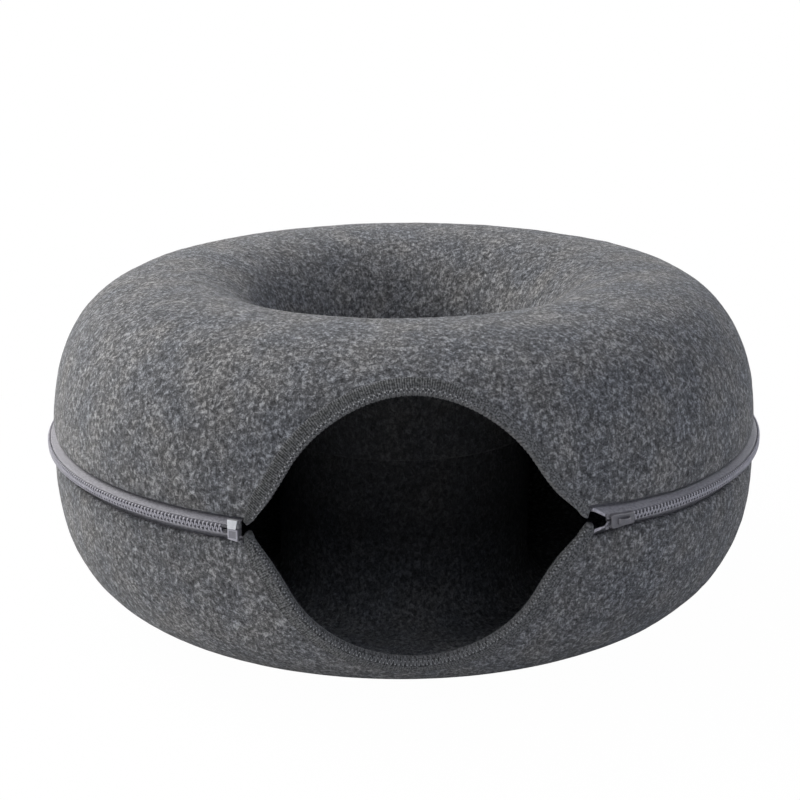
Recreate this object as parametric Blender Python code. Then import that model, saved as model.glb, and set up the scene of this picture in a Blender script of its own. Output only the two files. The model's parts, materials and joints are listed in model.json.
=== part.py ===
# Donut cat tunnel: two moulded felt half rings, closed by a zip round their widest line.
# Lengths are in metres and +Z is up. The tunnel stands on z = 0 and its mouth faces -Y.
# An azimuth is measured from the mouth's middle towards +X, so it grows round to the back.
import math

import bmesh
import bpy
import numpy as np

# Felt halves, measured on the outer face
FELT_THICKNESS = 0.005
RING_RADIUS = 0.2965
TOTAL_HEIGHT = 0.280
ZIP_HEIGHT = 0.148
ZIP_GAP = 0.0166
CREST_RADIUS = 0.1905
HOLE_RADIUS = 0.109
LIP_DEPTH = 0.089
SKIRT_END_HEIGHT = 0.146
COLUMN_LAP = 0.022
COLUMN_CLEARANCE = 0.0005
COLUMN_FOOT_BEND = 0.028
BASE_RADIUS = 0.150
UPPER_CURVE_POWER = 2.42
LOWER_CURVE_POWER = 2.83
LIP_CURVE_POWER = 2.2

# Mouth, finished size: widths run round the felt from its middle, heights from the zip's line
MOUTH_HALF_WIDTH = 0.1050
MOUTH_UPPER_HEIGHT = 0.1000
MOUTH_LOWER_HEIGHT = 0.1040
MOUTH_LEFT_REACH = 0.1265
MOUTH_RIGHT_REACH = 0.1360
FLARE_START_SHARE = 0.89
FLARE_BEND_SHARE = 0.41

# Knitted binding folded over the mouth's edge
BINDING_CLEARANCE = 0.0008
BINDING_INNER_CLEARANCE = 0.0012
BINDING_THICKNESS = 0.0012
BINDING_WIDTH = 0.010
BINDING_TIP_WIDTH = 0.0025
BINDING_TIP_HEIGHT = 0.0030
BINDING_TAPER = 0.35

# Zip tapes, sewn inside the felt's edges and bulging out through the gap
LAYER_GAP = 0.0005
TAPE_THICKNESS = 0.0008
TAPE_STANDOFF = 0.0028
TAPE_FLANGE_HEIGHT = 0.022
TAPE_SHOULDER_HEIGHT = 0.0046
TAPE_EDGE_HEIGHT = 0.0006
TAPE_END_CLEARANCE = 0.0016
TAPE_BULGE_SHARES = (0, 0.55, 1)
TAIL_LENGTH = 0.0080
TAIL_SHARE = 0.04

# Zip teeth
PIECE_GAP = 0.0003
CHAIN_HALF_WIDTH = 0.0035
CHAIN_DEPTH = 0.0023
CHAIN_CROWN = 0.0005
TOOTH_PITCH = 0.0075
TOOTH_DEPTH = 0.0022
TOOTH_CLEARANCE = 0.0004

# Slider, whose nose points to the mouth
SLIDER_LENGTH = 0.021
SLIDER_NOSE_FROM_CORNER = 0.0132
SLIDER_TAIL_HALF_WIDTH = 0.0048
SLIDER_NOSE_HALF_WIDTH = 0.0057
SLIDER_BACK_HALF_WIDTH = 0.0038
SLIDER_RIM = 0.0008
SLIDER_PLATE = 0.0015
SLIDER_CHAMFER = 0.0005
SLIDER_CLEARANCE = 0.0005
SLIDER_FLARE_SHARES = ((0, 0.55), (0.06, 0.9), (0.16, 1), (0.38, 0.72), (0.55, 0), (1, 0))
CROWN_WIDTH = 0.0026
CROWN_THICKNESS = 0.0011
CROWN_HEIGHT = 0.0036
CROWN_LENGTH = 0.0120
CROWN_SEGMENTS = 8

# Pin and box that join the tapes at the open end, and the stops at the closed end
BOX_LENGTH = 0.0080
BOX_TOP = 0.0009
BOX_BOTTOM = 0.0078
BOX_SLOPE = 0.0012
BOX_DEPTH = 0.0034
BOX_BACK = 0.0012
BOX_END_WALL = 0.0010
BOX_FRAME = 0.0011
BOX_RECESS = 0.0005
PIN_BLOCK_TOP = 0.0080
PIN_BLOCK_SLANT = 0.0014
PIN_WIDTH = 0.0022
PIN_DEPTH = 0.0010
PIN_REACH = 0.0050
STOP_LENGTH = 0.0026
STOP_HEIGHT = 0.0026
STOP_DEPTH = 0.0018

# Mesh density
MOUTH_COLUMNS = 18
BACK_COLUMNS = 44
CURVE_SAMPLES = 60
LIP_SEGMENTS = 5
FOOT_SEGMENTS = 4
ROW_SHARES = (0, 0.09, 0.22, 0.36, 0.48, 0.62, 0.79, 1)
SMOOTH_ANGLE = math.radians(35)
CUTTER_OVERRUN = 0.001

# Radii that follow from the sizes above
FLANGE_RADIUS = RING_RADIUS - FELT_THICKNESS - LAYER_GAP
TAPE_RADIUS = RING_RADIUS + TAPE_STANDOFF
TEETH_BACK_RADIUS = TAPE_RADIUS + PIECE_GAP
TEETH_FRONT_RADIUS = TEETH_BACK_RADIUS + CHAIN_DEPTH
FRONT_PLATE_RADIUS = TEETH_FRONT_RADIUS + SLIDER_CLEARANCE
TAPE_BACK_RADIUS = TAPE_RADIUS - TAPE_THICKNESS
BINDING_FOLD = BINDING_CLEARANCE + BINDING_THICKNESS
UPPER = 1
LOWER = -1


for old_object in list(bpy.data.objects):
    bpy.data.objects.remove(old_object, do_unlink=True)


# Materials
def make_material(name, colour, roughness, metallic=0.0):
    material = bpy.data.materials.new(name)
    material.use_nodes = True
    shader = material.node_tree.nodes["Principled BSDF"]
    shader.inputs["Base Color"].default_value = (*colour, 1.0)
    shader.inputs["Roughness"].default_value = roughness
    shader.inputs["Metallic"].default_value = metallic
    material.diffuse_color = (*colour, 1.0)
    return material


FELT = make_material("grey_felt", (0.105, 0.108, 0.112), 0.95)
BINDING = make_material("knitted_binding", (0.085, 0.086, 0.090), 0.90)
TAPE = make_material("woven_zip_tape", (0.235, 0.235, 0.265), 0.80)
TEETH = make_material("nylon_teeth", (0.300, 0.300, 0.340), 0.45)
MOULDING = make_material("pale_moulding", (0.500, 0.500, 0.520), 0.50)
SLIDER_METAL = make_material("painted_slider", (0.200, 0.200, 0.235), 0.40, 0.3)


# Sections: a run is the distance along the felt or the tape from the start of its section
class Section:
    """One face of a sheet in section, as radius and height, with its normal on the named side."""

    def __init__(self, points, side):
        self.points = np.array(points, float)
        steps = np.hypot(*np.diff(self.points, axis=0).T)
        self.runs = np.concatenate([[0.0], np.cumsum(steps)])
        self.side = side

    @property
    def length(self):
        return self.runs[-1]

    def point(self, run):
        radius = np.interp(run, self.runs, self.points[:, 0])
        height = np.interp(run, self.runs, self.points[:, 1])
        return np.array([radius, height])

    def normal(self, run):
        step = self.length / (4 * CURVE_SAMPLES)
        ahead = self.point(min(run + step, self.length))
        behind = self.point(max(run - step, 0))
        along = (ahead - behind) / np.linalg.norm(ahead - behind)
        return self.side * np.array([along[1], -along[0]])

    def offset(self, run, distance):
        return self.point(run) + distance * self.normal(run)


def quarter_curve(centre, reach, power, samples):
    """Points of a squared-off quarter round, from its side round to its top or bottom."""
    turn = np.linspace(0, math.pi / 2, samples)
    across = centre[0] + reach[0] * np.cos(turn) ** (2 / power)
    upward = centre[1] + reach[1] * np.sin(turn) ** (2 / power)
    return np.stack([across, upward], axis=1)


def upper_section():
    """Outer face of the upper half: up from the zip, over the crest and down inside the hole."""
    dome = quarter_curve(
        (CREST_RADIUS, ZIP_HEIGHT),
        (RING_RADIUS - CREST_RADIUS, TOTAL_HEIGHT - ZIP_HEIGHT),
        UPPER_CURVE_POWER,
        CURVE_SAMPLES,
    )
    lip = quarter_curve(
        (CREST_RADIUS, TOTAL_HEIGHT - LIP_DEPTH),
        (HOLE_RADIUS - CREST_RADIUS, LIP_DEPTH),
        LIP_CURVE_POWER,
        CURVE_SAMPLES,
    )
    skirt_end = [(HOLE_RADIUS, SKIRT_END_HEIGHT)]
    return Section(np.concatenate([dome, lip[::-1][1:], skirt_end]), UPPER)


def lower_section():
    """Outer face of the lower half: down from the zip, over the base ring and up the column."""
    bowl = quarter_curve(
        (BASE_RADIUS, ZIP_HEIGHT),
        (RING_RADIUS - BASE_RADIUS, -ZIP_HEIGHT),
        LOWER_CURVE_POWER,
        CURVE_SAMPLES,
    )
    column_radius = HOLE_RADIUS - COLUMN_CLEARANCE - FELT_THICKNESS
    bend = COLUMN_FOOT_BEND + FELT_THICKNESS
    foot = quarter_curve((column_radius + bend, bend), (-bend, -bend), 2, CURVE_SAMPLES)
    column_top = [(column_radius, SKIRT_END_HEIGHT + COLUMN_LAP)]
    return Section(np.concatenate([bowl, foot[::-1], column_top]), LOWER)


UPPER_FACE = upper_section()
LOWER_FACE = lower_section()


# Mouth outline
def half_outline(height, reach):
    """Felt's cut edge on one side of the mouth: an ellipse that flares out to a corner."""
    half_width = MOUTH_HALF_WIDTH + BINDING_FOLD
    half_height = height + BINDING_FOLD
    corner = reach + BINDING_FOLD
    start = FLARE_START_SHARE * half_width
    turn = np.linspace(0, math.asin(FLARE_START_SHARE), CURVE_SAMPLES)
    ellipse_reach = half_width * np.sin(turn)
    ellipse_rise = half_height * np.cos(turn)
    slope = -(half_height / half_width) * math.tan(turn[-1])
    bend = start + FLARE_BEND_SHARE * (corner - start)
    bend_rise = ellipse_rise[-1] + slope * (bend - start)
    part = np.linspace(0, 1, CURVE_SAMPLES)[1:]
    flare_reach = (1 - part) ** 2 * start + 2 * part * (1 - part) * bend + part**2 * corner
    flare_rise = (1 - part) ** 2 * ellipse_rise[-1] + 2 * part * (1 - part) * bend_rise
    reaches = np.concatenate([ellipse_reach, flare_reach])
    return reaches, np.concatenate([ellipse_rise, flare_rise])


def mouth_outline(height):
    """Felt's whole cut edge above or below the zip's line, from its left corner to its right."""
    left_reach, left_rise = half_outline(height, MOUTH_LEFT_REACH)
    right_reach, right_rise = half_outline(height, MOUTH_RIGHT_REACH)
    reaches = np.concatenate([-left_reach[:0:-1], right_reach])
    return reaches, np.concatenate([left_rise[:0:-1], right_rise])


MOUTH_OUTLINES = {
    UPPER: mouth_outline(MOUTH_UPPER_HEIGHT),
    LOWER: mouth_outline(MOUTH_LOWER_HEIGHT),
}


def mouth_rise(side, azimuth):
    """Distance of a half's cut edge from the zip's line at this azimuth."""
    return float(np.interp(azimuth * RING_RADIUS, *MOUTH_OUTLINES[side]))


def corner_azimuth(reach, rise):
    """Azimuth, without its sign, at which the upper cut edge is this far from the zip's line."""
    reaches, rises = half_outline(MOUTH_UPPER_HEIGHT, reach)
    return float(np.interp(rise, rises[::-1], reaches[::-1])) / RING_RADIUS


def run_at_rise(face, rise):
    """Run along a felt half's outer wall to a point this far from the zip's line."""
    wall = face.points[:CURVE_SAMPLES]
    return float(np.interp(rise, np.abs(wall[:, 1] - ZIP_HEIGHT), face.runs[:CURVE_SAMPLES]))


LEFT_CORNER = -corner_azimuth(MOUTH_LEFT_REACH, ZIP_GAP / 2)
RIGHT_CORNER = corner_azimuth(MOUTH_RIGHT_REACH, ZIP_GAP / 2)
LEFT_TIP = -corner_azimuth(MOUTH_LEFT_REACH, BINDING_TIP_HEIGHT)
RIGHT_TIP = corner_azimuth(MOUTH_RIGHT_REACH, BINDING_TIP_HEIGHT)


def azimuth_of(length, radius=RING_RADIUS):
    return length / radius


# Azimuths along the zip, which opens at the mouth's left corner and closes at its right one
TAPE_START = RIGHT_TIP + azimuth_of(TAPE_END_CLEARANCE)
TAPE_END = 2 * math.pi + LEFT_TIP - azimuth_of(TAPE_END_CLEARANCE)
SLIDER_NOSE = RIGHT_TIP + azimuth_of(SLIDER_NOSE_FROM_CORNER)
SLIDER_AZIMUTH = SLIDER_NOSE + azimuth_of(SLIDER_LENGTH / 2, TAPE_RADIUS)
SLIDER_TAIL = SLIDER_NOSE + azimuth_of(SLIDER_LENGTH, TAPE_RADIUS)
TAIL_END = SLIDER_NOSE - azimuth_of(TAIL_LENGTH)
BOX_AZIMUTH = TAPE_END - azimuth_of(BOX_LENGTH / 2, TAPE_RADIUS)
TAPE_FAR_END = TAPE_END - azimuth_of(BOX_END_WALL + PIECE_GAP, TAPE_RADIUS)
TEETH_START = SLIDER_TAIL + azimuth_of(PIECE_GAP)
TEETH_END = TAPE_END - azimuth_of(BOX_LENGTH + PIECE_GAP, TAPE_RADIUS)

# Columns of the mesh, which the felt, the tapes and the teeth share so that their faces lie alike
MOUTH_AZIMUTHS = np.linspace(LEFT_CORNER, RIGHT_CORNER, MOUTH_COLUMNS + 1)
BACK_AZIMUTHS = np.linspace(SLIDER_NOSE, TAPE_FAR_END, BACK_COLUMNS + 1)
CORNER_AZIMUTHS = np.array([TAPE_START, TAIL_END])
RING_AZIMUTHS = np.concatenate([MOUTH_AZIMUTHS, CORNER_AZIMUTHS, BACK_AZIMUTHS])


def binding_reach(azimuth):
    """How far in front of the axis the lower binding stands at this azimuth."""
    radius = LOWER_FACE.point(run_at_rise(LOWER_FACE, mouth_rise(LOWER, azimuth)))[0]
    return (radius + BINDING_FOLD) * math.cos(azimuth)


# Middle of the footprint: the zip reaches back further than the lower binding reaches out
AXIS_Y = (max(binding_reach(azimuth) for azimuth in MOUTH_AZIMUTHS) - TEETH_FRONT_RADIUS) / 2


# Joint axes
def make_empty(name, height=0.0, azimuth=0.0):
    empty = bpy.data.objects.new(name, None)
    empty.empty_display_size = HOLE_RADIUS
    empty.location = (0, AXIS_Y, height)
    empty.rotation_euler = (0, 0, azimuth)
    bpy.context.collection.objects.link(empty)
    return empty


lower_half = make_empty("lower_half_axis")
upper_half = make_empty("upper_half_axis", ZIP_HEIGHT)
slider_axis = make_empty("slider_axis", ZIP_HEIGHT, SLIDER_AZIMUTH)


# Mesh helpers
def place(azimuth, radius, height):
    return (radius * math.sin(azimuth), -radius * math.cos(azimuth), height)


def make_object(name, bm, material, parent, azimuth=0.0):
    """Object whose origin is on the tunnel's axis, at the height of its parent's origin."""
    bmesh.ops.recalc_face_normals(bm, faces=bm.faces)
    if bm.calc_volume(signed=True) < 0:
        bmesh.ops.reverse_faces(bm, faces=bm.faces)
    mesh = bpy.data.meshes.new(name)
    bm.to_mesh(mesh)
    bm.free()
    mesh.materials.append(material)
    mesh.shade_smooth()
    mesh.set_sharp_from_angle(angle=SMOOTH_ANGLE)
    piece = bpy.data.objects.new(name, mesh)
    bpy.context.collection.objects.link(piece)
    piece.parent = parent
    piece.rotation_euler = (0, 0, azimuth)
    return piece


def lofted(sections, closed):
    """Mesh through closed sections of equal count, joined round the ring or capped at both ends."""
    bm = bmesh.new()
    rings = [[bm.verts.new(point) for point in section] for section in sections]
    count = len(rings[0])
    following = rings[1:] + rings[:1] if closed else rings[1:]
    for ring, after in zip(rings, following):
        for k in range(count):
            m = (k + 1) % count
            bm.faces.new((ring[k], ring[m], after[m], after[k]))
    if not closed:
        bm.faces.new(rings[0])
        bm.faces.new(rings[-1])
    return bm


def prism(outline, low, high):
    """Upright solid from an outline of (across, radius) points, for a piece at azimuth 0."""
    bottom = [(across, -radius, low) for across, radius in outline]
    top = [(across, -radius, high) for across, radius in outline]
    return lofted([bottom, top], False)


def combine(piece, name, bm, operation):
    """Joins a helper shape to a piece, or takes it out."""
    helper = make_object(name, bm, piece.data.materials[0], piece.parent, piece.rotation_euler.z)
    helper.hide_render = True
    helper.display_type = "WIRE"
    boolean = piece.modifiers.new(name, "BOOLEAN")
    boolean.operation = operation
    boolean.solver = "EXACT"
    boolean.object = helper


# Felt halves
def felt_loop(face, azimuth, runs, floor):
    outer = [face.point(run) for run in runs]
    inner = [face.offset(run, -FELT_THICKNESS) for run in reversed(runs)]
    return [place(azimuth, radius, height - floor) for radius, height in outer + inner]


def felt_half(name, face, later_runs, parent):
    """Sheet of felt turned round the axis, its first rows fitted to the zip's gap or the mouth."""
    wall_end = face.runs[CURVE_SAMPLES - 1]
    loops = []
    for azimuth in RING_AZIMUTHS:
        start = run_at_rise(face, max(ZIP_GAP / 2, mouth_rise(face.side, azimuth)))
        runs = [start + share * (wall_end - start) for share in ROW_SHARES] + later_runs
        loops.append(felt_loop(face, azimuth, runs, parent.location.z))
    return make_object(name, lofted(loops, True), FELT, parent)


def spaced(start, end, segments):
    return list(np.linspace(start, end, segments + 1)[1:])


dome_end = UPPER_FACE.runs[CURVE_SAMPLES - 1]
lip_end = UPPER_FACE.runs[2 * CURVE_SAMPLES - 2]
upper_rows = spaced(dome_end, lip_end, LIP_SEGMENTS) + [UPPER_FACE.length]
felt_half("upper_shell", UPPER_FACE, upper_rows, upper_half)

foot_start = LOWER_FACE.runs[CURVE_SAMPLES]
foot_end = LOWER_FACE.runs[2 * CURVE_SAMPLES - 1]
lower_rows = [foot_start] + spaced(foot_start, foot_end, FOOT_SEGMENTS) + [LOWER_FACE.length]
felt_half("lower_shell", LOWER_FACE, lower_rows, lower_half)


# Mouth bindings
def edge_frame(face, azimuth):
    """Run of the cut edge, and the way off it into the felt, round the ring and along the run."""
    step = azimuth_of(PIECE_GAP)
    run = run_at_rise(face, mouth_rise(face.side, azimuth))
    ahead = run_at_rise(face, mouth_rise(face.side, azimuth + step))
    behind = run_at_rise(face, mouth_rise(face.side, azimuth - step))
    radius = face.point(run)[0]
    climb = (ahead - behind) / (2 * step)
    size = math.hypot(radius, climb)
    return run, radius, (-climb / size, radius / size)


def binding_loop(face, azimuth, floor):
    """Section of the binding: a strip folded over the felt, narrowing to the mouth's corner."""
    run, radius, way = edge_frame(face, azimuth)
    rise = mouth_rise(face.side, azimuth)
    tip = RIGHT_TIP if azimuth > 0 else LEFT_TIP
    from_tip = math.hypot((tip - azimuth) * RING_RADIUS, rise - BINDING_TIP_HEIGHT)
    width = min(BINDING_WIDTH, BINDING_TIP_WIDTH + BINDING_TAPER * from_tip)
    back = -FELT_THICKNESS
    inner_face = back - BINDING_INNER_CLEARANCE
    profile = (
        (width, BINDING_FOLD),
        (0, BINDING_FOLD),
        (-BINDING_FOLD, 0),
        (-BINDING_FOLD, back),
        (0, inner_face - BINDING_THICKNESS),
        (width, inner_face - BINDING_THICKNESS),
        (width, inner_face),
        (0, inner_face),
        (-BINDING_CLEARANCE, back),
        (-BINDING_CLEARANCE, 0),
        (0, BINDING_CLEARANCE),
        (width, BINDING_CLEARANCE),
    )
    loop = []
    for inward, outward in profile:
        spot = face.offset(run + inward * way[1], outward)
        loop.append(place(azimuth + inward * way[0] / radius, spot[0], spot[1] - floor))
    return loop


def mouth_binding(name, face, parent):
    azimuths = [LEFT_TIP, *MOUTH_AZIMUTHS, RIGHT_TIP]
    loops = [binding_loop(face, azimuth, parent.location.z) for azimuth in azimuths]
    make_object(name, lofted(loops, False), BINDING, parent)


mouth_binding("upper_opening_binding", UPPER_FACE, upper_half)
mouth_binding("lower_opening_binding", LOWER_FACE, lower_half)


# Zip tapes
def tape_section(face, side):
    """Outer face of a tape: along the felt's inside, out through the gap and along the chain."""
    behind = -FELT_THICKNESS - LAYER_GAP
    flange_run = run_at_rise(face, TAPE_FLANGE_HEIGHT)
    gap_run = run_at_rise(face, ZIP_GAP / 2)
    points = [face.offset(run, behind) for run in np.linspace(flange_run, gap_run, 3)[:2]]
    gap_edge = ZIP_GAP / 2 - LAYER_GAP
    drop = gap_edge - TAPE_SHOULDER_HEIGHT
    for share in TAPE_BULGE_SHARES:
        radius = FLANGE_RADIUS + share * (TAPE_RADIUS - FLANGE_RADIUS)
        points.append((radius, ZIP_HEIGHT + side * (gap_edge - drop * share**2)))
    points.append((TAPE_RADIUS, ZIP_HEIGHT + side * TAPE_EDGE_HEIGHT))
    return Section(points, -side)


def tape_loop(section, azimuth, share, floor):
    """Section of a tape, drawn back by a share towards the felt's edge where it ends in a tail."""
    fold = section.runs[2]
    runs = [run if run <= fold else fold + share * (run - fold) for run in section.runs]
    outer = [section.point(run) for run in runs]
    inner = [section.offset(run, -TAPE_THICKNESS) for run in reversed(runs)]
    return [place(azimuth, radius, height - floor) for radius, height in outer + inner]


def zip_tape(name, face, side, parent):
    """Tape from its tail beside the slider, round the back, to the pin or the box."""
    section = tape_section(face, side)
    shares = [TAIL_SHARE] * len(CORNER_AZIMUTHS) + [1.0] * len(BACK_AZIMUTHS)
    azimuths = np.concatenate([CORNER_AZIMUTHS, BACK_AZIMUTHS])
    floor = parent.location.z
    loops = [tape_loop(section, azimuth, share, floor) for azimuth, share in zip(azimuths, shares)]
    make_object(name, lofted(loops, False), TAPE, parent)


zip_tape("upper_zip_tape", UPPER_FACE, UPPER, upper_half)
zip_tape("lower_zip_tape", LOWER_FACE, LOWER, lower_half)


# Zip teeth
def ribbon(bm, fine, coarse, nearest):
    """Triangles between a toothed line and the plainer line along the row's outer edge."""
    for k in range(len(fine) - 1):
        here, there = coarse[nearest[k]], coarse[nearest[k + 1]]
        bm.faces.new((fine[k], fine[k + 1], there))
        if here is not there:
            bm.faces.new((fine[k], there, here))


def ladder(bm, front, back):
    """Faces that join a line of points on the row's front to the same line on its back."""
    for k in range(len(front) - 1):
        bm.faces.new((front[k], front[k + 1], back[k + 1], back[k]))


def teeth_row(name, side, parent):
    """Row of teeth that meshes with the other: both follow one toothed line, half a gap off it."""
    rise = ZIP_HEIGHT - parent.location.z
    teeth = round((TEETH_END - TEETH_START) * TAPE_RADIUS / TOOTH_PITCH)
    fine_azimuths = np.linspace(TEETH_START, TEETH_END, 2 * teeth + 1)
    inside = [azimuth for azimuth in BACK_AZIMUTHS if TEETH_START < azimuth < TEETH_END]
    coarse_azimuths = np.array([TEETH_START, *inside, TEETH_END])
    middles = (coarse_azimuths[1:] + coarse_azimuths[:-1]) / 2
    nearest = np.searchsorted(middles, fine_azimuths)
    bm = bmesh.new()
    fine, coarse = {}, {}
    for radius, crown in ((TEETH_BACK_RADIUS, 0), (TEETH_FRONT_RADIUS, CHAIN_CROWN)):
        line = []
        for k, azimuth in enumerate(fine_azimuths):
            swing = TOOTH_DEPTH / 2 if k % 2 else -TOOTH_DEPTH / 2
            line.append(place(azimuth, radius, rise + swing + side * TOOTH_CLEARANCE / 2))
        edge_height = rise + side * CHAIN_HALF_WIDTH
        edge = [place(azimuth, radius - crown, edge_height) for azimuth in coarse_azimuths]
        fine[radius] = [bm.verts.new(point) for point in line]
        coarse[radius] = [bm.verts.new(point) for point in edge]
        ribbon(bm, fine[radius], coarse[radius], nearest)
    ladder(bm, fine[TEETH_FRONT_RADIUS], fine[TEETH_BACK_RADIUS])
    ladder(bm, coarse[TEETH_FRONT_RADIUS], coarse[TEETH_BACK_RADIUS])
    for end in (0, -1):
        front, back = TEETH_FRONT_RADIUS, TEETH_BACK_RADIUS
        bm.faces.new((fine[front][end], coarse[front][end], coarse[back][end], fine[back][end]))
    make_object(name, bm, TEETH, parent)


teeth_row("upper_zip_teeth", UPPER, upper_half)
teeth_row("lower_zip_teeth", LOWER, lower_half)


# Slider: it lies along X at azimuth 0 here, nose first, and its parent turns it to its place
def slider_body():
    """Front plate with a rim down each side, splayed at the nose where the rows part."""
    front = FRONT_PLATE_RADIUS + SLIDER_PLATE
    rim_end = TAPE_RADIUS + SLIDER_CLEARANCE
    loops = []
    for along, flare in SLIDER_FLARE_SHARES:
        half = SLIDER_TAIL_HALF_WIDTH + flare * (SLIDER_NOSE_HALF_WIDTH - SLIDER_TAIL_HALF_WIDTH)
        inside = half - SLIDER_RIM
        corner = half - SLIDER_CHAMFER
        shape = (
            (front, corner),
            (front - SLIDER_CHAMFER, half),
            (rim_end, half),
            (rim_end, inside),
            (FRONT_PLATE_RADIUS, inside),
        )
        whole = list(shape) + [(radius, -height) for radius, height in reversed(shape)]
        across = (along - 0.5) * SLIDER_LENGTH
        loops.append([(across, -radius, height) for radius, height in whole])
    make_object("slider_body", lofted(loops, False), SLIDER_METAL, slider_axis)


def slider_back_plate():
    """Plate behind the tapes, rounded at both ends."""
    half = SLIDER_BACK_HALF_WIDTH
    outline = []
    for side in (1, -1):
        for turn in np.linspace(0, math.pi / 2, CROWN_SEGMENTS // 2 + 1)[:: side]:
            across = side * (SLIDER_LENGTH / 2 - half + half * math.cos(turn))
            outline.append((across, half * math.sin(turn)))
    outline += [(across, -height) for across, height in reversed(outline[1:-1])]
    sagitta = TAPE_BACK_RADIUS * (1 - math.cos(math.pi / BACK_COLUMNS))
    front = TAPE_BACK_RADIUS - sagitta - SLIDER_CLEARANCE
    back = front - SLIDER_PLATE
    loops = [[(across, -radius, height) for across, height in outline] for radius in (front, back)]
    make_object("slider_back_plate", lofted(loops, False), SLIDER_METAL, slider_axis)


def slider_crown():
    """Bridge over the front plate, which would hold a pull."""
    base = FRONT_PLATE_RADIUS + SLIDER_PLATE + PIECE_GAP
    loops = []
    for turn in np.linspace(0, math.pi, CROWN_SEGMENTS + 1):
        outer = np.array([CROWN_LENGTH / 2 * math.cos(turn), CROWN_HEIGHT * math.sin(turn) ** 0.5])
        slim = 1 - CROWN_THICKNESS / CROWN_HEIGHT
        narrow = 1 - 2 * CROWN_THICKNESS / CROWN_LENGTH
        inner = outer * (narrow, slim)
        loops.append(
            [
                (across, -(base + out), side * CROWN_WIDTH / 2)
                for (across, out), side in ((outer, 1), (inner, 1), (inner, -1), (outer, -1))
            ]
        )
    make_object("slider_crown", lofted(loops, False), SLIDER_METAL, slider_axis)


slider_body()
slider_back_plate()
slider_crown()


# Pin and box, where the tapes part: built at azimuth 0 with the tape coming from -X
def block(low, high):
    """Upright box between two corners given as (across, radius, height)."""
    outline = [(low[0], low[1]), (high[0], low[1]), (high[0], high[1]), (low[0], high[1])]
    return prism(outline, low[2], high[2])


def grip(side, rise):
    """Back of a moulding that wraps a tape's end: a wall across the end and a plate behind."""
    sagitta = TAPE_BACK_RADIUS * (1 - math.cos(math.pi / BACK_COLUMNS))
    back = TAPE_BACK_RADIUS - sagitta - PIECE_GAP
    left, right = -BOX_LENGTH / 2, BOX_LENGTH / 2
    wall = right - BOX_END_WALL
    outline = [
        (left, back - BOX_BACK),
        (right, back - BOX_BACK),
        (right, MOULDING_FACE - BOX_DEPTH / 2),
        (wall, MOULDING_FACE - BOX_DEPTH / 2),
        (wall, back),
        (left, back),
    ]
    near = BOX_TOP if side == LOWER else BOX_TOP + PIECE_GAP
    far = side * (TAPE_SHOULDER_HEIGHT - PIECE_GAP)
    return prism(outline, rise + min(near, far), rise + max(near, far))


MOULDING_FACE = TAPE_RADIUS + PIECE_GAP + BOX_DEPTH
PIN_RADIUS = MOULDING_FACE - BOX_DEPTH / 2


def retainer_box():
    """Box on the lower tape's end, open at the top for the pin and framed on its front."""
    half_length = BOX_LENGTH / 2
    plate_low = (-half_length, MOULDING_FACE - BOX_DEPTH, ZIP_HEIGHT - BOX_BOTTOM)
    plate_high = (half_length, MOULDING_FACE, ZIP_HEIGHT + BOX_TOP)
    bm = block(plate_low, plate_high)
    for vert in bm.verts:
        if vert.co.z < ZIP_HEIGHT and vert.co.x < 0:
            vert.co.z += BOX_SLOPE
    box = make_object("retainer_box", bm, MOULDING, lower_half, BOX_AZIMUTH)
    combine(box, "box_grip", grip(LOWER, ZIP_HEIGHT), "UNION")
    half = PIN_WIDTH / 2 + PIECE_GAP
    depth = PIN_DEPTH / 2 + PIECE_GAP
    socket_floor = ZIP_HEIGHT + BOX_TOP - PIN_REACH - PIECE_GAP
    socket_top = ZIP_HEIGHT + BOX_TOP + CUTTER_OVERRUN
    socket = block((-half, PIN_RADIUS - depth, socket_floor), (half, PIN_RADIUS + depth, socket_top))
    combine(box, "socket_cutter", socket, "DIFFERENCE")
    reach = half_length - BOX_FRAME
    recess_floor = ZIP_HEIGHT - BOX_BOTTOM + BOX_SLOPE + BOX_FRAME
    recess = block(
        (-reach, MOULDING_FACE - BOX_RECESS, recess_floor),
        (reach, MOULDING_FACE + CUTTER_OVERRUN, ZIP_HEIGHT + BOX_TOP - BOX_FRAME),
    )
    combine(box, "recess_cutter", recess, "DIFFERENCE")


def insertion_pin():
    """Block on the upper tape's end, with the pin that drops into the box."""
    low = BOX_TOP + PIECE_GAP
    half_length = BOX_LENGTH / 2
    plate_low = (-half_length, MOULDING_FACE - BOX_DEPTH, low)
    bm = block(plate_low, (half_length, MOULDING_FACE, PIN_BLOCK_TOP))
    for vert in bm.verts:
        if vert.co.z < PIN_BLOCK_TOP - BOX_SLOPE and vert.co.x > 0:
            vert.co.x -= PIN_BLOCK_SLANT
    pin = make_object("insertion_pin", bm, MOULDING, upper_half, BOX_AZIMUTH)
    combine(pin, "pin_grip", grip(UPPER, 0), "UNION")
    half, depth = PIN_WIDTH / 2, PIN_DEPTH / 2
    tip = BOX_TOP - PIN_REACH
    blade = block((-half, PIN_RADIUS - depth, tip), (half, PIN_RADIUS + depth, low + CUTTER_OVERRUN))
    combine(pin, "pin_blade", blade, "UNION")


def top_stop(name, side, parent):
    """Clip on a tape's edge in front of the slider's nose."""
    rise = ZIP_HEIGHT - parent.location.z
    edge = TAPE_SHOULDER_HEIGHT - STOP_HEIGHT / 2
    ends = sorted((side * edge, side * (edge + STOP_HEIGHT)))
    front = TAPE_RADIUS + PIECE_GAP
    half = STOP_LENGTH / 2
    bm = block((-half, front, rise + ends[0]), (half, front + STOP_DEPTH, rise + ends[1]))
    azimuth = SLIDER_NOSE - azimuth_of(half + SLIDER_CLEARANCE)
    make_object(name, bm, MOULDING, parent, azimuth)


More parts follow.
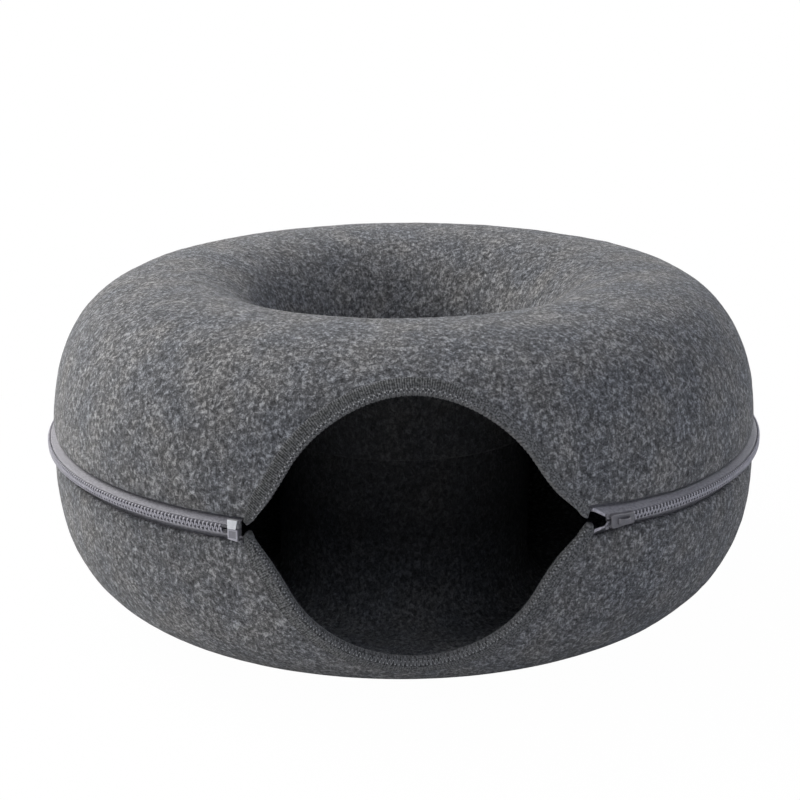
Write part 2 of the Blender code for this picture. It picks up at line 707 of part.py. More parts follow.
retainer_box()
insertion_pin()
top_stop("upper_top_stop", UPPER, upper_half)
top_stop("lower_top_stop", LOWER, lower_half)
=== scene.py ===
import json
from math import asin, cos, pi, radians, sin, tan

import bmesh
import bpy
import numpy as np
from mathutils import Matrix, Vector


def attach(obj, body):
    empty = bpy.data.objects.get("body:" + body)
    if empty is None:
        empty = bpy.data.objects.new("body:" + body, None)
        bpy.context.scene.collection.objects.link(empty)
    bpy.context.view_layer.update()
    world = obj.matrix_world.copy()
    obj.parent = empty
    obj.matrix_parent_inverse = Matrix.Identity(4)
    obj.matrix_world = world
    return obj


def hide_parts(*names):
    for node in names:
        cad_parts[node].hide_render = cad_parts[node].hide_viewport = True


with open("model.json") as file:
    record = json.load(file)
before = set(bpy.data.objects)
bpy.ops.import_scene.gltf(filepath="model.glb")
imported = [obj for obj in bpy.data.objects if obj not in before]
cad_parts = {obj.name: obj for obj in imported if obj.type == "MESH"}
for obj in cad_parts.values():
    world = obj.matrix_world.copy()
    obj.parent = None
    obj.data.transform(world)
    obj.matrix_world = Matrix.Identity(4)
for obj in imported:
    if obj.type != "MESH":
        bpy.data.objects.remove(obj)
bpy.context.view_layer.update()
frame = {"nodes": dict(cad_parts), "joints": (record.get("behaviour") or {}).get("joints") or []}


# UPPER HALF OF THE TUNNEL
# Grey needle felt, about 5 mm thick, pressed hot over a mould: a dome that rolls over a lip and
# runs down the middle hole as a skirt. Its edges are cut after moulding and lie under the zip's
# tape and the mouth's binding.
zip_joint = next(joint for joint in frame["joints"] if joint["name"] == "slider_travel")
axis_y, zip_height = zip_joint["pos_m"][1:]
UPPER, LOWER = 1, -1
felt_thickness = 0.005
ring_radius = 0.2965
total_height = 0.280
zip_gap = 0.0166
crest_radius = 0.1905
hole_radius = 0.109
lip_depth = 0.089
skirt_end_height = 0.146
upper_power, lower_power, lip_power = 2.42, 2.83, 2.2
mouth_half_width = 0.1050
mouth_heights = {UPPER: 0.1000, LOWER: 0.1055}
left_reach, right_reaches = 0.1265, {UPPER: 0.1360, LOWER: 0.1440}
flare_start_share, flare_bend_share = 0.89, 0.41
binding_fold = 0.0020
tuck_depth, tuck_height, tuck_limit = 0.0018, 0.020, 1.3
felt_columns = (166, 141, 166)
loose_reach, loose_height = 0.03, 0.0055
felt_clouds = (("sway", 0.085, 0.0022), ("clumps", 0.011, 0.0007))
samples = 400

# How far the two edges wander from a straight line beside the zip: degrees round from the mouth
# towards +X, millimetres up of the upper edge and of the lower one
edge_wander = np.array(
    [
        *((0, 0, 0), (24, 2.4, -2.6), (26.8, 3.3, -3.3), (28.6, 2.4, -1.6), (30, 1.5, -1.2)),
        *((33, 0.2, -0.6), (37, -0.6, -1.6), (42, -2.4, -2.8), (50, -2.8, -3.8), (65, -3.0, -4.0)),
        *((100, -1.5, -1.8), (270, -1.5, -1.6), (310, -2.3, -2.8), (324, -2.0, -2.6)),
        *((332, -1.6, -2.1), (336, -1.5, -1.4), (341, 0, 0)),
    ]
).T
# Share of that wander by distance from the zip's line, and the part of the wall that takes it
wander_rises, wander_shares = (0.0035, 0.0083, 0.018, 0.05), (0.25, 1, 1, 0)
wander_blend, wander_radius, wander_fade = 0.007, 0.26, 0.02


def place(azimuth, radius, height):
    """Points in the frame, which wander beside the zip."""
    turn, rise = np.degrees(azimuth) % 360, height - zip_height
    above, below = (np.interp(turn, edge_wander[0], row) / 1000 for row in edge_wander[1:])
    wander = below + (above - below) * np.clip(0.5 + rise / wander_blend, 0, 1)
    share = np.interp(np.abs(rise), wander_rises, wander_shares)
    share = share * np.clip((radius - wander_radius) / wander_fade, 0, 1)
    across, ahead = radius * np.sin(azimuth), axis_y - radius * np.cos(azimuth)
    return np.stack(np.broadcast_arrays(across, ahead, height + wander * share), axis=-1)


def quarter_round(centre, reach, power):
    """Quarter of a superellipse, from beside its centre to above it."""
    turn = np.linspace(0, pi / 2, samples)
    across = centre[0] + reach[0] * np.cos(turn) ** (2 / power)
    shade_share_above = centre[1] + reach[1] * np.sin(turn) ** (2 / power)
    return np.stack([across, shade_share_above], axis=1)


def tucked(points):
    """Draws a wall in beside the zip, where the seam pulls the felt down."""
    rise = np.abs(points[:, 1] - zip_height)
    share = np.clip((tuck_height - rise) / (tuck_height - zip_gap / 2), 0, tuck_limit)
    share = share * (points[:, 0] > crest_radius)
    return np.stack([points[:, 0] - tuck_depth * share**2, points[:, 1]], axis=1)


def steps_of(points):
    """Distance from each point to the next."""
    return np.hypot(*np.diff(points, axis=0).T)


def smoothed(values, count):
    """Running mean, the ends held."""
    return np.convolve(np.pad(values, count // 2, mode="edge"), np.ones(count) / count, "valid")


class Face:
    """One face of a sheet in section: radius, height and normal along its run."""

    def __init__(self, points, side):
        runs = np.concatenate([[0], np.cumsum(steps_of(points))])
        self.length = runs[-1]
        self.runs = np.linspace(0, self.length, 4 * samples)
        self.radius, self.height = (np.interp(self.runs, runs, line) for line in points.T)
        slopes = (np.gradient(line, self.runs) for line in (self.radius, self.height))
        along_r, along_z = (smoothed(slope, 25) for slope in slopes)
        size = np.hypot(along_r, along_z)
        self.normal_r, self.normal_z = side * along_z / size, -side * along_r / size

    def at(self, run, out):
        """Radius and height at a run, a distance out from the face."""
        lines = (self.radius, self.height, self.normal_r, self.normal_z)
        radius, height, out_r, out_z = (np.interp(run, self.runs, line) for line in lines)
        return radius + out * out_r, height + out * out_z

    def run_at_rise(self, rise):
        """Run on the outer wall to a height this far from the zip's line."""
        wall = self.runs <= self.wall_end
        return np.interp(rise, np.abs(self.height[wall] - zip_height), self.runs[wall])


dome = quarter_round(
    (crest_radius, zip_height), (ring_radius - crest_radius, total_height - zip_height), upper_power
)
lip = quarter_round(
    (crest_radius, total_height - lip_depth), (hole_radius - crest_radius, lip_depth), lip_power
)
upper_points = np.concatenate([dome, lip[::-1][1:], [(hole_radius, skirt_end_height)]])
upper_face = Face(tucked(upper_points), UPPER)
upper_face.wall_end = steps_of(dome).sum()


def half_outline(height, reach):
    """Cut edge on one side of the mouth: an ellipse that flares out to a corner."""
    half_width = mouth_half_width + binding_fold
    half_height = height + binding_fold
    corner = reach + binding_fold
    start = flare_start_share * half_width
    turn = np.linspace(0, asin(flare_start_share), samples)
    ellipse_reach, ellipse_rise = half_width * np.sin(turn), half_height * np.cos(turn)
    slope = -(half_height / half_width) * tan(turn[-1])
    bend = start + flare_bend_share * (corner - start)
    bend_rise = ellipse_rise[-1] + slope * (bend - start)
    part = np.linspace(0, 1, samples)[1:]
    flare = (1 - part) ** 2 * start + 2 * part * (1 - part) * bend + part**2 * corner
    flare_rise = (1 - part) ** 2 * ellipse_rise[-1] + 2 * part * (1 - part) * bend_rise
    return np.concatenate([ellipse_reach, flare]), np.concatenate([ellipse_rise, flare_rise])


def mouth_outline(side):
    reaches = (left_reach, right_reaches[side])
    left, right = (np.array(half_outline(mouth_heights[side], reach)) for reach in reaches)
    left[0] *= -1
    return np.concatenate([left[:, :0:-1], right], axis=1)


mouth_outlines = {side: mouth_outline(side) for side in (UPPER, LOWER)}


def mouth_rise(side, azimuth):
    """Distance of a half's cut edge from the zip's line."""
    return np.interp(azimuth * ring_radius, *mouth_outlines[side])


def corner_turns(side, rise):
    """Azimuths at which a half's cut edge is this far from the zip's line."""
    reaches, rises = mouth_outlines[side]
    middle = len(reaches) // 2
    left = np.interp(rise, rises[: middle + 1], reaches[: middle + 1])
    return left / ring_radius, np.interp(-rise, -rises[middle:], reaches[middle:]) / ring_radius


def show(name, data):
    """Puts a mesh, a lamp or a camera in the scene."""
    thing = bpy.data.objects.new(name, data)
    bpy.context.scene.collection.objects.link(thing)
    return thing


def add_piece(name, mesh):
    """Shows a mesh with its faces turned outwards and shaded smooth."""
    faces = bmesh.new()
    faces.from_mesh(mesh)
    bmesh.ops.recalc_face_normals(faces, faces=faces.faces)
    faces.to_mesh(mesh)
    faces.free()
    mesh.shade_smooth()
    return show(name, mesh)


def ring_faces(here, ahead):
    """Quads between two runs of closed rows of points."""
    quads = [here, ahead, np.roll(ahead, -1, -1), np.roll(here, -1, -1)]
    return np.stack(quads, axis=-1).reshape(-1, 4).tolist()


def grid_piece(name, points, along, over, around=False):
    """Piece over closed rows of points, with a map in metres."""
    columns, rows = points.shape[:2]
    mesh = bpy.data.meshes.new(name)
    index = np.arange(columns * rows).reshape(columns, rows)
    if around:
        count, faces = columns, ring_faces(index, np.roll(index, -1, axis=0))
    else:
        count, faces = columns - 1, ring_faces(index[:-1], index[1:])
        faces += [index[0].tolist(), index[-1][::-1].tolist()]
    mesh.from_pydata(points.reshape(-1, 3).tolist(), [], faces)
    grid = np.broadcast_arrays(along, over, np.zeros((count + 1, rows)))
    grid = np.stack(grid[:2], axis=-1)
    steps = ((0, 0), (1, 0), (1, 1), (0, 1))
    corners = [np.roll(grid[i : count + i], -j, axis=1) for i, j in steps]
    values = np.zeros((len(mesh.loops), 2), np.float32)
    values[: 4 * count * rows] = np.stack(corners, axis=2).reshape(-1, 2)
    mesh.uv_layers.new(name="run").data.foreach_set("uv", values.ravel())
    return add_piece(name, mesh)


def felt_shell(name, face, side, wall_rows, later_rows, loose):
    """Sheet of felt turned round the axis, with soft rounded edges."""
    half = felt_thickness / 2
    round_off = np.linspace(-pi / 2, pi / 2, 7)[1:-1]
    left, right = corner_turns(side, zip_gap / 2)
    ends = (-pi, left, right, pi)
    stretches = zip(ends, ends[1:], felt_columns)
    felt_turns = np.concatenate([np.linspace(*stretch)[:-1] for stretch in stretches])
    edge = np.maximum(zip_gap / 2, mouth_rise(side, felt_turns))
    start = face.run_at_rise(edge)[:, None] + half
    wall = start + (face.wall_end - start) * np.linspace(0, 1, wall_rows)
    later = np.linspace(face.wall_end, face.length - half, later_rows + 1)[1:]
    outer = np.concatenate([wall, np.broadcast_to(later, (len(start), later_rows))], axis=1)
    inner = outer[:, ::-2]
    begin = start - half * np.cos(round_off)
    end = face.length - half + half * np.cos(round_off)
    end = np.broadcast_to(end, (len(start), len(end)))
    runs = np.concatenate([begin, outer, end, inner], axis=1)
    arc = half * np.sin(round_off) - half
    outs = [arc, np.zeros(outer.shape[1]), arc[::-1], np.full(inner.shape[1], -felt_thickness)]
    radius, height = face.at(runs, np.concatenate(outs))
    points = place(felt_turns[:, None], radius, height)
    along = np.append(felt_turns, pi)[:, None] * ring_radius
    over = np.concatenate([runs, runs[:1]], axis=0)
    sides = np.zeros((len(felt_turns), runs.shape[1]), np.int32)
    sides[:, len(round_off) + outer.shape[1] :] = 1
    shell = grid_piece(name, points, along, over, around=True)
    shell.data.polygons.foreach_set("material_index", sides.ravel())
    group = shell.vertex_groups.new(name="free")
    from_edge = np.minimum(runs - start, loose - runs)
    weight = np.clip(np.minimum(from_edge, height - loose_height) / loose_reach, 0, 1)
    weight = (weight * weight * (3 - 2 * weight)).ravel()
    for step in range(1, 11):
        chosen = np.flatnonzero(np.round(weight * 10) == step)
        group.add(chosen.tolist(), step / 10, "REPLACE")
    for label, scale, strength in felt_clouds:
        clouds = bpy.data.textures.new(name + "_" + label, "CLOUDS")
        clouds.noise_scale = scale
        clouds.noise_depth = 2
        displace = shell.modifiers.new(label, "DISPLACE")
        displace.texture = clouds
        displace.texture_coords = "LOCAL"
        displace.strength = strength
        displace.vertex_group = "free"
    return shell


def wire(socket, value):
    """Sets a socket, or links it from another one in its tree."""
    if isinstance(value, bpy.types.NodeSocket):
        socket.id_data.links.new(value, socket)
    else:
        socket.default_value = value


def put(tree, kind, inputs=None, **settings):
    """Adds a node with its settings and inputs."""
    node = tree.nodes.new("ShaderNode" + kind)
    for key, value in settings.items():
        setattr(node, key, value)
    for key, value in (inputs or {}).items():
        wire(node.inputs[key], value)
    return node


def maths(operation, *values, clamp=False):
    settings = {"operation": operation, "use_clamp": clamp}
    return put(values[0].id_data, "Math", dict(enumerate(values)), **settings).outputs[0]


def add(*values, clamp=False):
    total = values[0]
    for value in values[1:-1]:
        total = maths("ADD", total, value)
    return maths("ADD", total, values[-1], clamp=clamp)


def multiply(*values):
    return maths("MULTIPLY", *values)


def mapped(value, start, end, low=0.0, high=1.0, **settings):
    """A value drawn from one range on to another."""
    inputs = {0: value, 1: start, 2: end, 3: low, 4: high}
    return put(value.id_data, "MapRange", inputs, **settings).outputs[0]


def parts_of(vector):
    return put(vector.id_data, "SeparateXYZ", {0: vector}).outputs


def stretched(vector, factors):
    inputs = {0: vector, 1: factors}
    return put(vector.id_data, "VectorMath", inputs, operation="MULTIPLY").outputs[0]


def noise(spot, scale, detail=2.0, roughness=0.6, distortion=0.0, flat=False):
    values = (spot, scale, detail, roughness, distortion)
    inputs = dict(zip(("Vector", "Scale", "Detail", "Roughness", "Distortion"), values))
    return put(spot.id_data, "TexNoise", inputs, noise_dimensions="2D" if flat else "3D").outputs[0]


def swing(value, weight):
    """A noise's swing about its middle, weighted."""
    return multiply(maths("SUBTRACT", value, 0.5), weight)


def new_group(name, inputs, outputs):
    """Empty node group, whose inputs without a value are vectors."""
    tree = bpy.data.node_groups.new(name, "ShaderNodeTree")
    for label, value in inputs.items():
        kind = "NodeSocketVector" if value is None else "NodeSocketFloat"
        socket = tree.interface.new_socket(label, in_out="INPUT", socket_type=kind)
        if value is not None:
            socket.default_value = value
    for label in outputs:
        tree.interface.new_socket(label, in_out="OUTPUT", socket_type="NodeSocketFloat")
    return tree.nodes.new("NodeGroupInput").outputs, tree.nodes.new("NodeGroupOutput")


def give_out(made, **values):
    """Wires a group's outputs, and returns the group."""
    for label, value in values.items():
        wire(made.inputs[label], value)
    return made.id_data


def felt_group():
    """Tangle of light and dark fibres, and the clumps they form."""
    inputs = {"Run": None, "Place": None}
    given, made = new_group("felt_fibres", inputs, ("Shade", "Tone", "Height"))
    tree, run, spot = made.id_data, given["Run"], given["Place"]
    strands = []
    layers = ((0.10, (1, 0.20, 1), 380.0), (1.25, (1, 0.15, 1), 470.0), (2.20, (1, 0.22, 1), 420.0))
    for angle, stretch, scale in layers:
        turned = put(tree, "VectorRotate", {"Vector": run, "Angle": angle}, rotation_type="Z_AXIS")
        drawn = stretched(turned.outputs[0], stretch)
        ripple = noise(drawn, scale, 1.0, 0.6, 0.7, flat=True)
        away = maths("ABSOLUTE", maths("SUBTRACT", ripple, 0.5))
        strand = mapped(away, 0.0, 0.060, 1.0, 0.0, interpolation_type="SMOOTHSTEP")
        strands.append(strand)
    weave = add(*strands)
    grain = noise(stretched(spot, (1, 1, 0.85)), 310.0, 3.0, 0.78, 0.4)
    clump = noise(spot, 120.0)
    patch = noise(spot, 26.0, 3.0)
    dots = {"Vector": stretched(run, (1, 0.72, 1)), "Scale": 95.0}
    dots = put(tree, "TexVoronoi", dots, voronoi_dimensions="2D").outputs
    chance = put(tree, "SeparateColor", {0: dots["Color"]}).outputs[0]
    near = mapped(dots["Distance"], 0.02, 0.13, 1.0, 0.0)
    fleck = multiply(near, maths("GREATER_THAN", chance, 0.72))
    swings = [swing(*pair) for pair in ((grain, 2.05), (clump, 0.32), (patch, 0.22))]
    bright = [multiply(*pair) for pair in ((weave, 0.14), (fleck, 0.32))]
    shade = maths("SUBTRACT", add(*swings, *bright), 0.08)
    height = add(multiply(weave, 0.45), grain, clump)
    return give_out(made, Shade=add(shade, 0.5, clamp=True), Tone=patch, Height=height)


felt_fibres = felt_group()


def new_material(name, roughness, **constants):
    """New material and its shader, with the constants set on its sockets."""
    material = bpy.data.materials.new(name)
    material.use_nodes = True
    shader = material.node_tree.nodes["Principled BSDF"]
    shader.inputs["Roughness"].default_value = roughness
    for label, value in constants.items():
        shader.inputs[label.replace("_", " ")].default_value = value
    return material, shader


def maps_of(shader):
    """The map in metres along and over a piece, and the place."""
    tree = shader.id_data
    spot = put(tree, "TexCoord").outputs["Object"]
    return put(tree, "UVMap", uv_map="run").outputs[0], spot


def ramp(factor, *stops):
    node = put(factor.id_data, "ValToRGB", {0: factor})
    elements = node.color_ramp.elements
    while len(elements) < len(stops):
        elements.new(0.5)
    for element, (position, colour) in zip(elements, stops):
        element.position = position
        element.color = (*colour, 1)
    return node.outputs[0]


def mixed(share, colour, other):
    inputs = {0: share, 6: colour, 7: other}
    return put(share.id_data, "Mix", inputs, data_type="RGBA").outputs[2]


def times(colour, other):
    inputs = {0: 1.0, 6: colour, 7: other}
    settings = {"data_type": "RGBA", "blend_type": "MULTIPLY"}
    return put(colour.id_data, "Mix", inputs, **settings).outputs[2]


def from_group(group, **inputs):
    """Outputs of a node group, whose first input is linked."""
    tree = next(iter(inputs.values())).id_data
    return put(tree, "Group", inputs, node_tree=group).outputs


def surface(shader, colour, height, strength, distance):
    """Gives a shader its colour and its fine relief."""
    wire(shader.inputs["Base Color"], colour)
    inputs = {"Height": height, "Strength": strength, "Distance": distance}
    wire(shader.inputs["Normal"], put(shader.id_data, "Bump", inputs).outputs[0])


def grey(value, blue=1.04):
    """A grey of this lightness, a little blue."""
    return (value, value * 1.008, value * blue)


def felt_material(name, dark, middle, light, bump, shade_share_above=1.0):
    """Felt from dark to light fibres. Above the floor its colour is painted darker with height,
    down to the share given last: painted shade.
    """
    material, shader = new_material(
        name, 0.96, Sheen_Weight=0.15, Sheen_Roughness=0.55, Specular_IOR_Level=0.15
    )
    run, spot = maps_of(shader)
    fibres = from_group(felt_fibres, Run=run, Place=spot)
    stops = ((0.05, grey(dark)), (0.50, grey(middle)), (0.95, grey(light, 1.03)))
    colour = ramp(fibres["Shade"], *stops)
    tint = ramp(fibres["Tone"], (0.36, (0.97, 0.99, 1.04)), (0.64, (1.03, 1.0, 0.97)))
    # Painted shade: the colour darkens from 1.5 cm to 8 cm above the floor.
    fade = mapped(parts_of(spot)[2], 0.015, 0.08, 1.0, shade_share_above)
    colour = times(times(colour, tint), fade)
    surface(shader, colour, fibres["Height"], bump, 0.0006)
    return material


outer_felt = felt_material("grey_felt", 0.022, 0.135, 0.52, 0.9)
# The tunnel side of the upper half is the same felt as the outside, painted darker: painted shade.
inner_felt_painted_shade = felt_material("shaded_felt", 0.011, 0.046, 0.15, 0.8)


def dress(piece, body, slot, *materials, node=None):
    """Gives a piece its materials and body, and hides the solid it stands for. The slot is not
    used.
    """
    for material in materials:
        piece.data.materials.append(material)
    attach(piece, body)
    if node:
        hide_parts(node)


upper_felt = felt_shell("upper_felt", upper_face, UPPER, 62, 46, upper_face.length - 0.02)
dress(upper_felt, "upper_half", "grey_felt", outer_felt, inner_felt_painted_shade, node="upper_shell")


# LOWER HALF OF THE TUNNEL
# The same felt pressed into a bowl: a flat ring that stands on the floor, and a column that rises
# inside the upper half's skirt, so that the two overlap round the middle hole.
base_radius = 0.150
column_lap = 0.022
column_clearance = 0.0005
column_foot_bend = 0.028
column_radius = hole_radius - column_clearance - felt_thickness
foot_bend = column_foot_bend + felt_thickness
bowl_reach = (ring_radius - base_radius, -zip_height)
bowl = quarter_round((base_radius, zip_height), bowl_reach, lower_power)
foot = quarter_round((column_radius + foot_bend, foot_bend), (-foot_bend, -foot_bend), 2)
column_top = [(column_radius, skirt_end_height + column_lap)]
lower_face = Face(tucked(np.concatenate([bowl, foot[::-1], column_top])), LOWER)
lower_face.wall_end = steps_of(bowl).sum()

lap_start = lower_face.length - column_lap - 0.012
lower_felt = felt_shell("lower_felt", lower_face, LOWER, 62, 40, lap_start)
# The tunnel side of the lower half is the same felt, painted lighter on the bowl's floor and darker
# with height up the column: painted light and painted shade.
bowl_felt_painted_light_shade = felt_material("bowl_felt_painted_light_shade", 0.034, 0.200, 0.62, 0.8, 0.20)
dress(lower_felt, "lower_half", "grey_felt", outer_felt, bowl_felt_painted_light_shade, node="lower_shell")


# MOUTH BINDINGS
# Knitted elastic tape, ribbed across, folded over each half's cut edge round the mouth and tapering
# into its corners. It is cut from a roll, stretched round the felt and pinned down by the seam.
binding_width, binding_tip_width, binding_taper = 0.010, 0.0025, 0.35
tip_rise = 0.0030
tip_rounding = 0.0028
right_widths = {UPPER: 0.62, LOWER: 0.85}
plain_side = (0.56, 0.68)
rib_pitch = 0.0017
rib_shares = {UPPER: 1, LOWER: 0.4}
# Per half: depth of the ribs' relief and of their painted groove shade, then the lightness of the
# roll, the ribs, the border and the plain right side
knit_tones = {UPPER: (0.8, 0.095, 0.095, 0.120, 0.135), LOWER: (0.5, 0.095, 0.125, 0.075, 0.120)}
halves = (("upper", upper_face, UPPER), ("lower", lower_face, LOWER))
tips = {side: corner_turns(side, tip_rise) for side in (UPPER, LOWER)}


class CutEdge:
    """A half's cut edge along the mouth, from the left corner's tip to the right one's."""

    def __init__(self, face, side):
        self.face, self.side = face, side
        left_tip, right_tip = tips[side]
        self.turns = np.linspace(left_tip, right_tip, 3000)
        rises = mouth_rise(side, self.turns)
        self.runs = face.run_at_rise(rises)
        self.radii, heights = face.at(self.runs, 0)
        steps = np.diff(place(self.turns, self.radii, heights), axis=0)
        self.lengths = np.concatenate([[0], np.cumsum(np.linalg.norm(steps, axis=1))])
        climb = np.gradient(self.runs, self.turns)
        size = np.hypot(self.radii, climb)
        self.way_round, self.way_up = -climb / size, self.radii / size
        nearest = np.where(self.turns > 0, right_tip, left_tip)
        from_tip = np.hypot((nearest - self.turns) * ring_radius, rises - tip_rise)
        full = binding_width * np.interp(self.turns, (0.05, 0.26), (1, right_widths[side]))
        self.widths = np.minimum(full, binding_tip_width + binding_taper * from_tip)

    def spot(self, length, share, inward, outward):
        """Points by length along the edge, way in from it (a share of the binding's width and a
        distance) and distance out of the face."""
        values = (self.turns, self.runs, self.radii, self.way_round, self.way_up, self.widths)
        turn, run, edge_radius, way_round, way_up, width = (
            np.interp(length, self.lengths, value) for value in values
        )
        inward = inward + share * width
        radius, height = self.face.at(run + inward * way_up, outward)
        return place(turn + inward * way_round / edge_radius, radius, height)


edges = {side: CutEdge(face, side) for _, face, side in halves}

# The strip in section, in millimetres: share of its width, distance in, distance out, rib height
binding_outside = (
    *((1.00, 0, 0.02, 0.0), (1.00, 0, 0.40, 0.0), (0.985, 0, 0.70, 0.0), (0.95, 0, 0.92, 0.04)),
    *((0.91, 0, 1.00, 0.08), (0.87, 0, 1.02, 0.14), (0.82, 0, 1.06, 0.20), (0.74, 0, 1.12, 0.22)),
    *((0.66, 0, 1.17, 0.22), (0.58, 0, 1.22, 0.22), (0.50, 0, 1.28, 0.22), (0.43, 0, 1.34, 0.20)),
    *((0.36, 0, 1.38, 0.18), (0.29, 0, 1.38, 0.14), (0.23, 0, 1.34, 0.10), (0.17, 0, 1.24, 0.08)),
    *((0.11, 0, 1.34, 0.10), (0.05, 0, 1.62, 0.10)),
)
binding_roll, binding_fold_back = (
    [(0, -2.0 * sin(turn), out + size * cos(turn), 0.05) for turn in turns]
    for out, size, turns in (
        (0, 2.0, np.linspace(0, pi / 2, 6)), (-5.0, -2.1, np.linspace(pi / 2, 0, 5))
    )
)
binding_inside = (
    *((0.12, 0, -7.05, 0.08), (0.30, 0, -6.9, 0.1), (0.5, 0, -6.75, 0.1), (0.7, 0, -6.65, 0.1)),
    *((0.9, 0, -6.6, 0.05), (1.0, 0, -6.3, 0.0), (1.0, 0, -5.2, 0.0), (0.5, 0, -5.2, 0.0)),
    *((0.0, 0, -5.2, 0.0), (0, -0.3, -4.8, 0.0), (0, -0.3, -0.2, 0.0), (0.0, 0, 0.1, 0.0)),
    (0.5, 0, 0.05, 0.0),
)
binding_section = np.array(
    [*binding_outside, *binding_roll, (0, -2.05, -2.5, 0.05), *binding_fold_back, *binding_inside]
)


def mouth_binding(name, edge):
    total = edge.lengths[-1]
    lengths = np.linspace(0, total, round(total / rib_pitch) * 6 + 1)[:, None]
    share, inward, outward, rib = binding_section.T
    inward, outward, rib = inward / 1000, outward / 1000, rib / 1000
    from_end = np.minimum(lengths, total - lengths) / tip_rounding
    size = 0.3 + 0.7 * np.sqrt(1 - (1 - np.clip(from_end, 0, 1)) ** 2)
    plain = np.interp(lengths / total, plain_side, (1, 0.15))
    waves = plain * rib_shares[edge.side] * rib * np.cos(2 * pi * lengths / rib_pitch)
    middle = -felt_thickness / 2
    outside = outward > -0.003
    waves = np.where(outside, waves, -waves)
    outs = middle + (outward + waves - middle) * size
    points = edge.spot(lengths, share * size, inward * size, outs)
    map_over = share * binding_width + np.where(share == 0, inward, 0)
    map_over = np.where(outside, map_over, -0.004 - share * binding_width)
    return grid_piece(name, points, lengths, map_over)


def wave(value, kind="COSINE"):
    """Sine or cosine of a number of whole turns."""
    return maths(kind, multiply(value, 2 * pi))


def knit_group():
    """Fine knit: loops along the ribs and their height; its shade is painted darker in the grooves
    between ribs and loops, with random tone.
    """
    inputs = {"Run": None, "Rib": rib_pitch, "Depth": 1.0}
    given, made = new_group("fine_knit", inputs, ("Shade", "Height", "Over"))
    split = parts_of(given["Run"])
    bend = swing(noise(given["Run"], 260.0, 1.0, 0.5, flat=True), 0.0009)
    rib_wave = wave(maths("DIVIDE", add(split[0], bend), given["Rib"]))
    lean = multiply(maths("ABSOLUTE", rib_wave), 0.35)
    loop_wave = wave(add(maths("DIVIDE", split[1], 0.0009), lean))
    both = add(multiply(rib_wave, 0.5), multiply(loop_wave, 0.3))
    both = multiply(both, given["Depth"])
    rough = swing(noise(given["Run"], 520.0, 3.0, 0.75, flat=True), 3.2)
    # Painted shade: the colour follows the relief, darker in the grooves.
    shade = add(multiply(both, 0.60), rough, 0.5, clamp=True)
    over = add(split[1], multiply(bend, 0.4))
    return give_out(made, Shade=shade, Height=both, Over=over)


fine_knit = knit_group()


def knit_material(name, edge, depth, roll, ribs, border, plain):
    """Binding in bands from the fold outwards, which fade to one plain shade on the right."""
    material, shader = new_material(name, 0.9, Sheen_Weight=0.15, Specular_IOR_Level=0.2)
    run, _ = maps_of(shader)
    ends = [part * edge.lengths[-1] for part in plain_side]
    fade = mapped(parts_of(run)[0], *ends)
    depth = mapped(fade, 0.0, 1.0, depth, 0.15)
    knit = from_group(fine_knit, Run=run, Rib=rib_pitch, Depth=depth)
    # The knit's shade, painted darker in the grooves between ribs and loops, darkens the bands.
    dark = ramp(knit["Shade"], (0.1, (0.25,) * 3), (0.5, (0.9,) * 3), (0.95, (1.9,) * 3))
    bands = ramp(
        mapped(knit["Over"], -binding_fold, binding_width),
        *((0.02, grey(roll * 1.2)), (0.06, grey(roll)), (0.16, grey(roll)), (0.24, grey(ribs))),
        *((0.80, grey(ribs, 1.0)), (0.93, grey(border)), (1.0, grey(border))),
    )
    bands = mixed(fade, bands, (*grey(plain), 1))
    surface(shader, times(bands, dark), knit["Height"], 0.7, 0.0002)
    return material


for label, _, side in halves:
    knit = knit_material(label + "_knit", edges[side], *knit_tones[side])
    binding = mouth_binding(label + "_binding", edges[side])
    node = label + "_opening_binding"
    dress(binding, label + "_half", "knitted_binding", knit, node=node)


# BINDING SEAMS
# Polyester thread, sewn through binding and felt by a machine that leaves a zigzag between two rows
# of needle holes, outside and in.
stitch_pitches = {UPPER: 0.0039, LOWER: 0.0030}
needle_rows = {UPPER: (0.0024, 0.0005), LOWER: (0.0048, 0.0020)}
seam_sunk = {UPPER: 0.0009, LOWER: 0}
zigzag_thread, lock_thread = 0.00025, 0.00034


def strand_piece(name, centres, sideways, outward, corners=6):
    """Strands in one mesh, each a row of centres with two half widths."""
    turn = np.linspace(0, 2 * pi, corners, endpoint=False)[:, None]
    points = centres[:, :, None] + np.cos(turn) * sideways[:, :, None]
    points = points + np.sin(turn) * outward[:, :, None]
    index = np.arange(points[..., 0].size).reshape(points.shape[:3])
    faces = ring_faces(index[:, :-1], index[:, 1:])
    faces += index[:, 0, ::-1].tolist() + index[:, -1].tolist()
    mesh = bpy.data.meshes.new(name)
    mesh.from_pydata(points.reshape(-1, 3).tolist(), [], faces)
    return add_piece(name, mesh)


def unit(vectors):
    return vectors / np.linalg.norm(vectors, axis=-1, keepdims=True)


def thread_piece(name, paths, outward, radius):
    """Round threads along paths, with the way out from the cloth."""
    outward = unit(outward)
    sideways = unit(np.cross(unit(np.gradient(paths, axis=1)), outward))
    return strand_piece(name, paths, radius * sideways, radius * outward)


def mottled(name, dark, light, roughness, grain, strength, distance, **constants):
    """Material in two shades by one noise, which also lifts it."""
    material, shader = new_material(name, roughness, **constants)
    blotch = noise(maps_of(shader)[1], *grain)
    colour = ramp(blotch, (0.3, dark), (0.7, light))
    surface(shader, colour, blotch, strength, distance)
    return material


def thread_material(name, lightness):
    shades, grain = (grey(lightness * 0.55), grey(lightness * 1.25)), (1800.0, 2.0, 0.6, 0.8)
    sheen = {"Sheen_Weight": 0.2, "Specular_IOR_Level": 0.35}
    return mottled(name, *shades, 0.55, grain, 0.6, 0.0001, **sheen)


